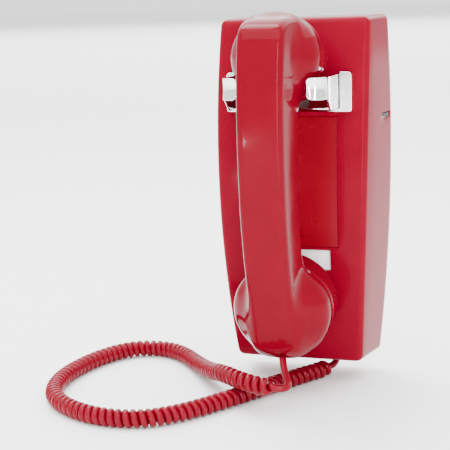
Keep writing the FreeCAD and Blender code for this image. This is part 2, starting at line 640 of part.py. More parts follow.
def make_capsules():
    """Turn the two capsules and the contact cup under the transmitter."""
    centre, rotation = cap_place("receiver")
    profile = [("0", "-9"), ("14", "-9"), ("17", "-4"), ("capsule_radius", "-3"), ("capsule_radius", "8"),
               ("20", "receiver_length - 5.5"), ("0", "receiver_length - 5.5")]
    node("receiver_capsule", turned("receiver_capsule", profile, centre, rotation))
    centre, rotation = cap_place("transmitter")
    profile = [("0", "0.4"), ("capsule_radius + 3", "0.4"), ("capsule_radius + 3", "10"),
               ("21", "transmitter_length - 5.5"), ("0", "transmitter_length - 5.5")]
    node("transmitter_capsule", turned("transmitter_capsule", profile, centre, rotation))
    profile = [("0", "-10"), ("20", "-10"), ("20", "-3.6"), ("27.5", "-3.6"), ("27.5", "0"), ("18", "0"),
               ("18", "-7"), ("0", "-7")]
    return node("transmitter_cup", turned("transmitter_cup", profile, centre, rotation))


# ---------------------------------------------------------------- ringer, network, volume control

def make_ringer():
    deep = "-gong_back"
    profile = [("2.0", "0"), ("gong_radius * 0.62", "0"), ("gong_radius * 0.9", "gong_depth * 0.3"),
               ("gong_radius", "gong_depth"), ("gong_radius - gong_wall", "gong_depth"),
               ("gong_radius * 0.9 - gong_wall", "gong_depth * 0.36"), ("gong_radius * 0.6", "gong_wall"),
               ("2.0", "gong_wall")]
    posts = []
    for name, side in (("left", "-"), ("right", "")):
        centre = (f"{side}gong_spread", f"{deep} - gong_depth", "gong_level")
        node(f"gong_{name}", turned(f"gong_{name}", profile, centre, TURNS["y"]))
        post = rod(f"post_{name}_full", "4", "gong_back + gong_depth - gong_wall - plate_thick",
                   (f"{side}gong_spread", "-plate_thick", "gong_level"), "-y")
        bore = rod(f"post_{name}_bore", "screw_radius", "60", (f"{side}gong_spread", "-50", "gong_level"), "y")
        posts.append(cut(f"post_{name}", post, bore))
    node("gong_posts", group("gong_posts", posts))
    screws("gong_screws", [(f"{side}gong_spread", f"{deep} - gong_depth", "gong_level") for side in ("-", "")],
           "-y", "20")
    frame = block("ringer_back", ("-14", "14"), ("-plate_thick - 2", "-plate_thick"),
                  ("gong_level + 30", "gong_level + 62"))
    arms = [block(f"ringer_arm_{name}", (low, high), ("-26", "-plate_thick"),
                  ("gong_level + 30", "gong_level + 34"))
            for name, low, high in (("left", "-14", "-11"), ("right", "11", "14"))]
    top = block("ringer_top", ("-14", "14"), ("-26", "-plate_thick"), ("gong_level + 59", "gong_level + 62"))
    window = stud_window("frame_window", "-keyhole_spacing / 2")
    node("ringer_frame", cut("ringer_frame", join("ringer_whole", [frame, top] + arms), window))
    core = rod("coil_core", "3", "25", ("0", "-15", "gong_level + 34"), "z")
    node("ringer_core", core)
    winding = cut("ringer_coil", rod("coil_outer", "9.5", "20", ("0", "-15", "gong_level + 36.5"), "z"),
                  rod("coil_inner", "3", "30", ("0", "-15", "gong_level + 32"), "z"))
    node("ringer_coil", winding)
    stem = rod("clapper_stem", "0.9", "30", ("0", "-gong_back - 7", "gong_level"), "z")
    ball = doc.addObject("Part::Sphere", "clapper_ball")
    ball.Radius = 2.2
    place(ball, ("0", "-gong_back - 7", "gong_level"))
    hub = rod("clapper_hub", "2.6", "4", ("0", "-gong_back - 9", "gong_level + 31"), "y")
    armature = block("clapper_armature", ("-9", "9"), ("-gong_back - 8.4", "-gong_back - 5.6"),
                     ("gong_level + 29.8", "gong_level + 32.2"))
    bore = rod("clapper_bore", "1 + running_gap", "30", ("0", "-gong_back - 20", "gong_level + 31"), "y")
    node("clapper", cut("clapper", join("clapper_whole", [stem, ball, hub, armature]), bore))
    return node("clapper_pin", rod("clapper_pin", "1", "gong_back + 7.5 - plate_thick",
                                   ("0", "-plate_thick - 2", "gong_level + 31"), "-y"))


def make_network():
    """Make the circuit block on its four spacers, with its row of screw terminals."""
    node("network_block", block("network_block", ("-26", "26"), ("-30", "-14"), ("-18", "8")))
    terminals = []
    for number in range(8):
        terminals.append(rod(f"terminal_{number}", "1.9", "3.4", (f"-21 + {number} * 6", "-30", "-6"), "-y"))
    node("network_terminals", group("network_terminals", terminals))
    legs = [rod(f"network_leg_{number}", "2.4", "14 - plate_thick", (x, "-plate_thick", z), "-y")
            for number, (x, z) in enumerate((("-20", "-14"), ("20", "-14"), ("-20", "4"), ("20", "4")))]
    return node("network_spacers", group("network_spacers", legs))


def make_volume_control():
    inner = "half_widest - draft_inset * wheel_depth / draft_depth - wheel_radius + wheel_proud"
    body = doc.addObject("PartDesign::Body", "volume_wheel")
    disc = circles(body, "wheel_disc", "XY_Plane", [("0", "0", "wheel_radius")])
    pad(body, "wheel_pad", disc, "wheel_thick")
    doc.recompute()
    groove = circles(body, "wheel_groove", "XY_Plane", [("wheel_radius + 0.5", "0", "0.9")])
    polar(body, "wheel_grooves", pocket(body, "wheel_pocket", groove, "12"), "Z_Axis", 24)
    hole = circles(body, "wheel_hole", "XY_Plane", [("0", "0", "1.5 + running_gap")])
    pocket(body, "wheel_bore", hole, "12")
    place(body, (inner, "-wheel_depth - 0.6", "wheel_level - wheel_thick / 2"))
    node("volume_wheel", body)
    shaft = rod("volume_shaft", "1.5", "9", (inner, "-wheel_depth - 0.6", "wheel_level - 5"), "z")
    case = block("volume_case", (f"{inner} - 8", f"{inner} + 3"), ("-wheel_depth - 7", "-plate_thick"),
                 ("wheel_level - 11", "wheel_level - 4"))
    return node("volume_control", join("volume_control", [case, shaft]))


# ---------------------------------------------------------------- cord

def tangent_path(points):
    """Join straight runs by tangent arcs, each as large as its two runs allow."""
    corners = [Vector(*point) for point in points]
    edges = []
    start = corners[0]
    for before, corner, after in zip(corners, corners[1:], corners[2:]):
        incoming = (corner - before).normalize()
        outgoing = (after - corner).normalize()
        turn = incoming.getAngle(outgoing)
        reach = 0.45 * min(corner.distanceToPoint(before), corner.distanceToPoint(after))
        entry = corner - incoming * reach
        leave = corner + outgoing * reach
        radius = reach / math.tan(turn / 2)
        toward = (outgoing - incoming).normalize()
        apex = corner + toward * (radius / math.cos(turn / 2) - radius)
        edges.append(Part.LineSegment(start, entry).toShape())
        edges.append(Part.Arc(entry, apex, leave).toShape())
        start = leave
        print(f"  turn {math.degrees(turn):5.1f} deg, radius {radius:6.1f} mm")
    edges.append(Part.LineSegment(start, corners[-1]).toShape())
    return Part.Wire(edges)


def make_tube(name, points, diameter):
    print(name)
    path = tangent_path(points)
    radius = size(diameter) / 2
    heading = Vector(*points[1]) - Vector(*points[0])
    ring = Part.Wire(Part.makeCircle(radius, Vector(*points[0]), heading))
    tube = path.makePipeShell([ring], True, False)
    expected = math.pi * radius ** 2 * path.Length
    print(f"  length {path.Length:.1f} mm, volume {tube.Volume:.0f} of {expected:.0f} mm3")
    return node(name, feature(name, tube))


def make_cord():
    make_tube("cord_coil", COIL_ROUTE, "coil_diameter")
    make_tube("cord_lead_handset", HANDSET_LEAD_ROUTE, "wire_diameter")
    make_tube("cord_lead_base", BASE_LEAD_ROUTE, "wire_diameter")
    low = "-housing_height / 2"
    profile = [("wire_diameter / 2 + 0.1", "-0.9"), ("6.4", "-0.9"), ("6.4", "0.3"), ("4.8", "0.6"),
               ("4.8", "6"), ("wire_diameter / 2 + 0.1", "6")]
    return node("cord_grommet", turned("cord_grommet", profile, ("gland_x", "-gland_depth", low)))


make_base_plate()
make_housing()
make_wall_plug()
make_dial_blank()
make_blank_bracket()
make_card()
make_cradle_bezel()
make_hook()
make_hook_works()
make_handset_handle()
make_cap("receiver", [("0", "1.6", 1), ("6.5", "1.6", 6)])
make_cap("transmitter", [("0", "1.3", 1), ("5.5", "1.3", 6), ("11", "1.3", 12), ("16.5", "1.3", 18)])
make_capsules()
make_ringer()
make_network()
make_volume_control()
make_cord()
screws("housing_screws", [(f"{side}28", "-9", "-housing_height / 2 + 0.3") for side in ("-", "")], "-z", "8")

doc.recompute()
for item in doc.Objects:
    if "Invalid" in item.State or "Error" in item.State:
        raise RuntimeError(f"{item.Name} failed: {item.State}")
os.makedirs("parts", exist_ok=True)
for name, solid in nodes.items():
    shape = solid.Shape
    if shape.isNull() or not shape.isValid():
        raise RuntimeError(f"{name} has no valid shape")
    if shape.Volume < TINY:
        raise RuntimeError(f"{name} is empty")
    shape.exportStep(f"parts/{name}.step")
print(len(nodes), "nodes")
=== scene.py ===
"""A wall telephone without a dial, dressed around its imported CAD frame.

Sizes in this script are millimetres in the frame's own axes: +Z up, the wall plane at y = 0 and the
front towards -Y. Meshes are turned into metres where they are made.
"""
import math
import bmesh
import bpy
import numpy as np
from mathutils import Matrix, Vector


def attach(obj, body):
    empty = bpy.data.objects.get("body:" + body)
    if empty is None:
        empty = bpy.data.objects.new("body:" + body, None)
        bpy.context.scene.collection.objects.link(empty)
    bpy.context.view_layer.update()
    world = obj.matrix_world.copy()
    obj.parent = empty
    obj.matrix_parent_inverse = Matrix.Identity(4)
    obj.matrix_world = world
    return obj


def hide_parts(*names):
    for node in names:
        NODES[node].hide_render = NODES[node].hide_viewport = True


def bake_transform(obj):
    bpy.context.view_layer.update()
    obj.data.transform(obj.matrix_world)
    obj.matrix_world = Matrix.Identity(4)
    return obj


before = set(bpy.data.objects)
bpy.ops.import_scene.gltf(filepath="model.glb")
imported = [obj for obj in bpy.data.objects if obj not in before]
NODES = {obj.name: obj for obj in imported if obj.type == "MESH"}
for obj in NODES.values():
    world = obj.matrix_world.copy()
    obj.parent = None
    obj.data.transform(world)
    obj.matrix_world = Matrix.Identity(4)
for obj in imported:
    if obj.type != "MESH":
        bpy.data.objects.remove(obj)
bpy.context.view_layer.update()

MM = 0.001
FLOOR = -132.0

# ---------------------------------------------------------------- camera, floor and light

CAMERA_PLACE = (209.09, -825.6, 127.16)
CAMERA_YAW, CAMERA_PITCH, CAMERA_ROLL = 18.39, 10.3, -1.68
CAMERA_LENS, CAMERA_SENSOR = 96.3, 36.0
CAMERA_NEAR, CAMERA_FAR = 0.05, 250
WORLD_COLOUR, WORLD_STRENGTH = (1.0, 0.98, 0.985, 1), 1.8
FLOOR_HALF = 80.0
PHONE_MIDDLE = (0, -0.05, 0)
# Each light: its place, its target, its width and height, all in metres, and its watts.
LIGHTS = {
    "key": ((-0.5, 0.35, 1.5), PHONE_MIDDLE, 0.8, 0.8, 34),
    "strip": ((0.36, -1.0, 0.08), PHONE_MIDDLE, 0.15, 0.9, 9),
    "front": ((0.2, -1.6, 2.2), (0.2, -1.4, -0.13), 4.0, 2.6, 170),
    "back": ((-0.9, 8.4, 4.6), (-0.9, 8.6, -0.13), 14.0, 14.0, 2600),
    "glint": ((-0.33, -1.05, -0.08), (0, -0.125, 0.0), 0.035, 0.03, 0.45),
}


def link(name, data):
    """Put new data into the scene as an object."""
    obj = bpy.data.objects.new(name, data)
    bpy.context.scene.collection.objects.link(obj)
    return obj


def make_camera():
    """Aim the camera by yaw to the left, pitch down and a slight roll."""
    yaw, pitch, roll = (math.radians(a) for a in (CAMERA_YAW, CAMERA_PITCH, CAMERA_ROLL))
    ahead = Vector((-math.sin(yaw) * math.cos(pitch), math.cos(yaw) * math.cos(pitch), -math.sin(pitch)))
    level = Vector((math.cos(yaw), math.sin(yaw), 0))
    upright = level.cross(ahead)
    right = level * math.cos(roll) + upright * math.sin(roll)
    up = upright * math.cos(roll) - level * math.sin(roll)
    data = bpy.data.cameras.new("camera")
    data.lens, data.sensor_width = CAMERA_LENS, CAMERA_SENSOR
    data.clip_start, data.clip_end = CAMERA_NEAR, CAMERA_FAR
    camera = link("camera", data)
    turn = Matrix((right, up, -ahead)).transposed().to_4x4()
    camera.matrix_world = Matrix.Translation(Vector(CAMERA_PLACE) * MM) @ turn
    bpy.context.scene.camera = camera


def make_light(name, place, target, width, height, watts):
    """Hang a rectangular lamp and aim it."""
    data = bpy.data.lights.new(name, "AREA")
    data.shape, data.size, data.size_y, data.energy = "RECTANGLE", width, height, watts
    light = link(name, data)
    light.location = place
    aim = Vector(target) - Vector(place)
    light.rotation_euler = aim.to_track_quat("-Z", "Y").to_euler()


def make_studio():
    """Set the world's light, the lamps and the pale floor."""
    world = bpy.data.worlds.new("studio")
    bpy.context.scene.world = world
    world.use_nodes = True
    background = world.node_tree.nodes["Background"]
    background.inputs["Color"].default_value = WORLD_COLOUR
    background.inputs["Strength"].default_value = WORLD_STRENGTH
    for name, values in LIGHTS.items():
        make_light(name, *values)
    corners = [(-1, -1), (1, -1), (1, 1), (-1, 1)]
    data = bpy.data.meshes.new("floor")
    data.from_pydata([(x * FLOOR_HALF, y * FLOOR_HALF, FLOOR * MM) for x, y in corners], [], [(0, 1, 2, 3)])
    floor = link("floor", data)
    data.materials.append(surface("floor_paint", (0.9, 0.9, 0.89), 0.6, shade=0.02, grain=90, bump=0.0002))


# ---------------------------------------------------------------- materials

BROAD_DETAIL, FINE_DETAIL = 6, 3
SHADE_START, SHADE_END = 0.3, 0.7
RELIEF_STRENGTH = 0.5


def surface(name, colour, roughness, shade=0.06, metallic=0.0, grain=60.0, spread=0.05, bump=0.0, fine=700.0,
            stretch=(1, 1, 1), sockets=()):
    """Make a material whose colour, roughness and fine relief all vary a little over the surface."""
    made = bpy.data.materials.new(name)
    made.use_nodes = True
    tree = made.node_tree
    shader = tree.nodes["Principled BSDF"]
    shader.inputs["Metallic"].default_value = metallic
    for socket, value in sockets:
        shader.inputs[socket].default_value = value
    place = tree.nodes.new("ShaderNodeTexCoord")
    scale = tree.nodes.new("ShaderNodeMapping")
    scale.inputs["Scale"].default_value = stretch
    tree.links.new(place.outputs["Object"], scale.inputs["Vector"])
    broad = tree.nodes.new("ShaderNodeTexNoise")
    broad.inputs["Scale"].default_value = grain
    broad.inputs["Detail"].default_value = BROAD_DETAIL
    tree.links.new(scale.outputs["Vector"], broad.inputs["Vector"])
    ramp = tree.nodes.new("ShaderNodeValToRGB")
    dark, light = ramp.color_ramp.elements
    dark.position, light.position = SHADE_START, SHADE_END
    dark.color = tuple(c * (1 - shade) for c in colour) + (1,)
    light.color = tuple(min(1, c * (1 + shade)) for c in colour) + (1,)
    tree.links.new(broad.outputs["Fac"], ramp.inputs["Fac"])
    tree.links.new(ramp.outputs["Color"], shader.inputs["Base Color"])
    wear = tree.nodes.new("ShaderNodeMapRange")
    wear.inputs["To Min"].default_value = max(0.0, roughness - spread)
    wear.inputs["To Max"].default_value = roughness + spread
    tree.links.new(broad.outputs["Fac"], wear.inputs["Value"])
    tree.links.new(wear.outputs["Result"], shader.inputs["Roughness"])
    if bump:
        small = tree.nodes.new("ShaderNodeTexNoise")
        small.inputs["Scale"].default_value = fine
        small.inputs["Detail"].default_value = FINE_DETAIL
        tree.links.new(scale.outputs["Vector"], small.inputs["Vector"])
        relief = tree.nodes.new("ShaderNodeBump")
        relief.inputs["Distance"].default_value = bump
        relief.inputs["Strength"].default_value = RELIEF_STRENGTH
        tree.links.new(small.outputs["Fac"], relief.inputs["Height"])
        tree.links.new(relief.outputs["Normal"], shader.inputs["Normal"])
    return made


RED = (0.165, 0.0001, 0.010)
RED_PLASTIC = surface("red_plastic", RED, 0.14, 0.05, spread=0.04, bump=0.00003, fine=260,
                      sockets=(("Specular IOR Level", 0.04),))
HANDSET_RED = surface("handset_red", (0.132, 0.0001, 0.007), 0.10, 0.05, spread=0.04, bump=0.00003, fine=260,
                      sockets=(("Specular IOR Level", 0.06),))
BLANK_RED = surface("blank_red", (0.165, 0.0001, 0.007), 0.26, 0.05, spread=0.05, bump=0.00004, fine=420,
                    sockets=(("Specular IOR Level", 0.10),))
CORD_RED = surface("cord_red", (0.15, 0.0001, 0.008), 0.16, 0.10, grain=220, spread=0.06, bump=0.00004,
                   fine=900, sockets=(("Specular IOR Level", 0.12),))
CHROME = surface("chrome", (0.83, 0.83, 0.825), 0.06, 0.03, 1.0, grain=120, spread=0.05, bump=0.00003,
                 fine=240)
STEEL = surface("plated_steel", (0.60, 0.59, 0.55), 0.34, 0.12, 1.0, grain=140, spread=0.12, bump=0.00004,
                stretch=(1, 1, 0.2))
SPRING_STEEL = surface("spring_steel", (0.45, 0.45, 0.47), 0.28, 0.06, 1.0, grain=300)
BRASS = surface("brass", (0.70, 0.50, 0.20), 0.26, 0.10, 1.0, grain=160, spread=0.08)
IRON = surface("soft_iron", (0.22, 0.22, 0.23), 0.5, 0.15, 1.0, grain=200)
BLACK = surface("switch_plastic", (0.03, 0.028, 0.027), 0.42, 0.2, grain=150, bump=0.00005)
GREY = surface("wheel_grey", (0.05, 0.048, 0.048), 0.45, 0.12, grain=150, bump=0.00005)
CASE = surface("network_case", (0.16, 0.17, 0.18), 0.45, 0.12, grain=120, bump=0.00006)
WINDING = surface("winding", (0.36, 0.11, 0.04), 0.35, 0.25, grain=500, bump=0.0001, stretch=(0.2, 0.2, 6))
ALLOY = surface("capsule_metal", (0.66, 0.66, 0.66), 0.38, 0.08, 1.0, grain=200)
CLEAR_PLUG = surface("plug_clear", (0.74, 0.74, 0.69), 0.16, 0.05, sockets=(("Transmission Weight", 0.5),))
CARD = surface("card", (0.98, 0.975, 0.96), 0.55, 0.02, grain=400, bump=0.00002, fine=1600)
CLEAR = surface("clear_plastic", (0.98, 0.98, 0.98), 0.05, 0.01, spread=0.02,
                sockets=(("Alpha", 0.08),))

# ---------------------------------------------------------------- mesh helpers


def dress(obj, slot, material, body, *nodes):
    """Give a piece its material, its body and the nodes it stands for; the slot argument is not used."""
    obj.data.materials.clear()
    obj.data.materials.append(material)
    if body:
        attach(obj, body)
    if nodes:
        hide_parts(*nodes)
    return obj


def mesh_object(name, points, faces, angle=40.0, merge=0.0):
    """Make an object from points in millimetres, smooth except along sharp edges."""
    data = bpy.data.meshes.new(name)
    data.from_pydata([tuple(float(c) * MM for c in point) for point in points], [], faces)
    work = bmesh.new()
    work.from_mesh(data)
    if merge:
        bmesh.ops.remove_doubles(work, verts=work.verts, dist=merge * MM)
    bmesh.ops.recalc_face_normals(work, faces=work.faces)
    work.to_mesh(data)
    work.free()
    data.shade_smooth()
    data.set_sharp_from_angle(angle=math.radians(angle))
    return link(name, data)


def soften(obj, width, segments=3, angle=40.0):
    """Round the edges that are sharper than an angle."""
    edge = obj.modifiers.new("edge", "BEVEL")
    edge.width, edge.segments = width * MM, segments
    edge.limit_method, edge.angle_limit = "ANGLE", math.radians(angle)
    edge.harden_normals = False
    return obj


def loft(rings, closed=True, capped=True):
    """Join rings of equal count into quads, with a face over each end."""
    count = len(rings[0])
    points = [point for ring in rings for point in ring]
    faces = []
    for k in range(len(rings) - 1):
        for i in range(count if closed else count - 1):
            j = (i + 1) % count
            faces.append((k * count + i, k * count + j, (k + 1) * count + j, (k + 1) * count + i))
    if capped:
        last = (len(rings) - 1) * count
        faces += [tuple(range(count)), tuple(range(last + count - 1, last - 1, -1))]
    return points, faces


def arc_points(centre, radius, start, end, steps):
    """List points on an arc, its angles in degrees."""
    turns = [math.radians(start + (end - start) * k / steps) for k in range(steps + 1)]
    return [(centre[0] + radius * math.cos(t), centre[1] + radius * math.sin(t)) for t in turns]


def rounded_rectangle(width, height, radius, steps=5):
    """List the outline of a rectangle with rounded corners, its middle at the origin."""
    points = []
    for sx, sy, start in ((1, 1, 0), (-1, 1, 90), (-1, -1, 180), (1, -1, 270)):
        centre = (sx * (width / 2 - radius), sy * (height / 2 - radius))
        points += arc_points(centre, radius, start, start + 90, steps)
    return points


def lathe(profile, centre, rotation, steps=96):
    """Turn a profile of (radius, height) about a tilted axis."""
    rings = []
    for k in range(steps):
        turn = 2 * math.pi * k / steps
        ring = [rotation @ Vector((r * math.cos(turn), r * math.sin(turn), h)) + centre for r, h in profile]
        rings.append(ring)
    count = len(profile)
    points = [point for ring in rings for point in ring]
    faces = []
    for k in range(steps):
        n = (k + 1) % steps
        here, there = k * count, n * count
        faces += [(here + i, here + i + 1, there + i + 1, there + i) for i in range(count - 1)]
    return points, faces


# ---------------------------------------------------------------- housing

HALF_HEIGHT, DRAFT_DEPTH, DRAFT_SIDE, DRAFT_TOP, DRAFT_BOTTOM = 119.0, 60.0, 6.9, 1.25, 4.0
# Half the width at the wall plane, and the front's depth, as curves through three levels each.
SIDE_BOW = np.polyfit((119.0, 28.0, -119.0), (55.42, 57.77, 48.86), 2)
FRONT_BOW = np.polyfit((119.0, 0.0, -119.0), (40.2, 55.6, 40.8), 2)
# Grid lines of the housing's sheet: every opening has its edges on them.
COLUMNS = (-38.0, -32.0, -26.25, -13.0, 13.0, 26.25, 32.0, 38.0)
LEVELS = (-104.0, -93.0, -82.0, -71.0, -61.0, -50.25, -43.0, -35.75, -34.0, -25.0, -15.0, -5.0, 5.0, 15.0,
          25.0, 35.0, 44.0, 49.7, 53.5, 54.0, 59.4, 68.0, 77.0, 87.0, 97.0, 107.0)
DEPTHS = (-34.0, -27.0, -20.4, -12.0, -2.8, 0.0)
# Each opening of the front: x from and to, z from and to. The wheel's slot: z from and to, y from and to.
OPENINGS = ((-32.0, 32.0, -34.0, 54.0), (-26.25, 26.25, -50.25, -35.75), (-13.0, 13.0, 59.4, 68.0))
WHEEL_SLOT = (49.7, 53.5, -20.4, -2.8)
SHARP_ANGLE = 40
CORNER_WEIGHT, RIM_WEIGHT = 1.0, 0.8
HOUSING_ROUND, HOUSING_WALL, HOUSING_EDGE = 4.5, 2.6, 0.45


def housing_point(column, level_share, level, y):
    """Find a point of the housing: column -1 and 1 are the side walls, and others are x on the front."""
    deep = -y / DRAFT_DEPTH
    low = -HALF_HEIGHT + DRAFT_BOTTOM * deep
    high = HALF_HEIGHT - DRAFT_TOP * deep
    z = low + level_share * (high - low) if level is None else level
    back_level = (level_share * 2 - 1) * HALF_HEIGHT
    if abs(column) == 1:
        return (column * (np.polyval(SIDE_BOW, back_level) - DRAFT_SIDE * deep), y, z)
    return (column, y, z)


def make_housing():
    """Lay the front, the walls and their openings as one sheet, then thicken it and round its edges."""
    bottom_y, top_y = (-np.polyval(FRONT_BOW, side * (HALF_HEIGHT - 2)) for side in (-1, 1))
    bottom = -HALF_HEIGHT - DRAFT_BOTTOM * bottom_y / DRAFT_DEPTH
    top = HALF_HEIGHT + DRAFT_TOP * top_y / DRAFT_DEPTH
    levels = (bottom,) + LEVELS + (top,)
    shares = [(z - bottom) / (top - bottom) for z in levels]
    columns = (-1,) + COLUMNS + (1,)
    points, faces = [], []

    def quad(corners):
        faces.append(tuple(range(len(points), len(points) + 4)))
        points.extend(corners)

    def front(i, j):
        return housing_point(columns[i], shares[j], levels[j], -np.polyval(FRONT_BOW, levels[j]))

    def wall(i, j, k):
        return front(i, j) if k < 0 else housing_point(columns[i], shares[j], None, DEPTHS[k])

    def opened(x0, x1, z0, z1):
        x, z = (x0 + x1) / 2, (z0 + z1) / 2
        return any(a < x < b and c < z < d for a, b, c, d in OPENINGS)

    last_column, last_level = len(columns) - 1, len(levels) - 1
    for i in range(last_column):
        for j in range(last_level):
            x0, x1 = front(i, j)[0], front(i + 1, j)[0]
            if not opened(x0, x1, levels[j], levels[j + 1]):
                quad([front(i, j), front(i + 1, j), front(i + 1, j + 1), front(i, j + 1)])
        for j in (0, last_level):
            for k in range(-1, len(DEPTHS) - 1):
                quad([wall(i, j, k), wall(i + 1, j, k), wall(i + 1, j, k + 1), wall(i, j, k + 1)])
    for i in (0, last_column):
        for j in range(last_level):
            for k in range(-1, len(DEPTHS) - 1):
                in_slot = (i and k >= 0 and WHEEL_SLOT[0] <= levels[j] < levels[j + 1] <= WHEEL_SLOT[1]
                           and WHEEL_SLOT[2] <= DEPTHS[k] < DEPTHS[k + 1] <= WHEEL_SLOT[3])
                if not in_slot:
                    quad([wall(i, j, k), wall(i, j + 1, k), wall(i, j + 1, k + 1), wall(i, j, k + 1)])
    obj = mesh_object("housing_shell", points, faces, 60, merge=0.01)
    mark_housing_edges(obj.data)
    add_housing_modifiers(obj)
    return dress(obj, "red_plastic", RED_PLASTIC, "base", "housing")


def mark_housing_edges(data):
    """Give the front's rim and the four corners the weights that say how far they are rounded."""
    work = bmesh.new()
    work.from_mesh(data)
    weight = work.edges.layers.float.new("bevel_weight_edge")
    for edge in work.edges:
        if len(edge.link_faces) == 2 and edge.calc_face_angle() > math.radians(SHARP_ANGLE):
            along = edge.verts[1].co - edge.verts[0].co
            runs_back = abs(along.y) > abs(along.x) + abs(along.z)
            edge[weight] = CORNER_WEIGHT if runs_back else RIM_WEIGHT
            edge.smooth = True
    work.to_mesh(data)
    work.free()


def add_housing_modifiers(obj):
    """Round the marked edges, then give the sheet its wall and soften the edges of its openings."""
    rim = obj.modifiers.new("rim", "BEVEL")
    rim.limit_method, rim.width, rim.segments = "WEIGHT", HOUSING_ROUND * MM, 7
    wall = obj.modifiers.new("wall", "SOLIDIFY")
    wall.thickness, wall.offset, wall.use_even_offset = HOUSING_WALL * MM, -1, True
    soften(obj, HOUSING_EDGE, 2, 50)


# ---------------------------------------------------------------- handset

OUTER_CURVE = [
    (-88.0, 121.0), (-104.0, 119.0), (-113.0, 116.5), (-119.0, 113.0), (-122.3, 107.0), (-124.2, 98.0),
    (-126.2, 84.0), (-127.6, 66.0), (-128.0, 40.0), (-125.6, 0.0), (-119.6, -34.0), (-111.0, -62.0),
    (-103.5, -82.0), (-97.5, -94.0), (-88.0, -99.5),
]
INNER_CURVE = [
    (-84.0, -60.0), (-88.0, -42.0), (-94.0, -22.0), (-98.5, 4.0), (-100.0, 36.0), (-97.0, 56.0),
    (-90.0, 70.0), (-86.0, 96.0),
]
CUP_PROFILE = ((0.0, 1.0), (6.0, 1.0), (10.0, 0.985), (14.0, 0.93), (18.0, 0.84), (22.0, 0.73), (27.0, 0.58))
CAP_TILT = math.radians(11.0)
# Each cup: the middle of its rim, its radius, its end of the handset, its profile's stretch and its fillet.
CUPS = {
    "receiver": (Vector((0, -79.0, 93.2)), 29.2, 1, 1.0, 4.5),
    "transmitter": (Vector((0, -77.0, -70.5)), 33.0, -1, 0.9, 9.0),
}
CUP_LIP = 6.0
HANDLE_HALF, HANDLE_SPREAD, HANDLE_DEEP, HANDLE_EDGE = 14.5, 3.2, 26.0, 3.2
HANDSET_LOW, HANDSET_HIGH = (-39.0, -134.0, -108.0), (39.0, -68.0, 128.0)
GRID_STEP, SMOOTH_PASSES, RIM_EDGE = 1.5, 3, 0.5


def facing(sign):
    """Point from a cup's rim out of its face, for the upper end (1) or the lower end (-1)."""
    return Vector((0, math.cos(CAP_TILT), -sign * math.sin(CAP_TILT)))


def smooth_line(points, steps=8):
    """Run a Catmull-Rom curve through points."""
    padded = [points[0]] + list(points) + [points[-1]]
    line = []
    for a, b, c, d in zip(padded, padded[1:], padded[2:], padded[3:]):
        a, b, c, d = (np.array(p) for p in (a, b, c, d))
        for t in np.arange(steps) / steps:
            line.append(0.5 * (2 * b + (c - a) * t + (2 * a - 5 * b + 4 * c - d) * t ** 2
                               + (3 * b - a - 3 * c + d) * t ** 3))
    line.append(np.array(points[-1]))
    return line


def outline_distance(points, u, v):
    """Measure signed distance from places (u, v) to a closed outline, negative inside."""
    nearest = np.full(u.shape, 1e9)
    inside = np.zeros(u.shape, bool)
    for (ax, ay), (bx, by) in zip(points, points[1:] + points[:1]):
        ex, ey = bx - ax, by - ay
        t = np.clip(((u - ax) * ex + (v - ay) * ey) / (ex * ex + ey * ey + 1e-12), 0, 1)
        nearest = np.minimum(nearest, np.hypot(u - ax - t * ex, v - ay - t * ey))
        crosses = (ay > v) != (by > v)
        inside ^= crosses & (u < (bx - ax) * (v - ay) / (by - ay + 1e-12) + ax)
    return np.where(inside, -nearest, nearest)


def blend_distance(a, b, reach):
    """Join two distance fields with a fillet."""
    h = np.clip(0.5 + 0.5 * (b - a) / reach, 0, 1)
    return b + (a - b) * h - reach * h * (1 - h)


def handset_distance(x, y, z):
    """Measure distance to the handle and its two cups at every place of a grid."""
    side = [tuple(p) for p in smooth_line(OUTER_CURVE)] + [tuple(p) for p in smooth_line(INNER_CURVE)]
    flat = outline_distance(side, y[0], z[0])[None, :, :]
    rising = OUTER_CURVE[::-1]
    front = np.interp(z[0, 0], [level for _, level in rising], [depth for depth, _ in rising])
    half = HANDLE_HALF + HANDLE_SPREAD * np.clip((y - front[None, None, :]) / HANDLE_DEEP, 0, 1)
    across = np.abs(x) - half + HANDLE_EDGE
    along = flat + HANDLE_EDGE + 0 * x
    outside = np.hypot(np.maximum(across, 0), np.maximum(along, 0))
    form = outside + np.minimum(np.maximum(across, along), 0) - HANDLE_EDGE
    for centre, radius, sign, length, fillet in CUPS.values():
        axis = facing(sign)
        deep = (y - centre.y) * axis.y + (z - centre.z) * axis.z
        out = np.sqrt(np.maximum(x ** 2 + ((y - centre.y) * axis.z - (z - centre.z) * axis.y) ** 2, 0))
        profile = [(radius, CUP_LIP)] + [(radius * share, -a * length) for a, share in CUP_PROFILE]
        closed = [(-p[0], p[1]) for p in reversed(profile)]
        cup = outline_distance(profile + closed, out, deep)
        form = blend_distance(form, cup, fillet)
    return form


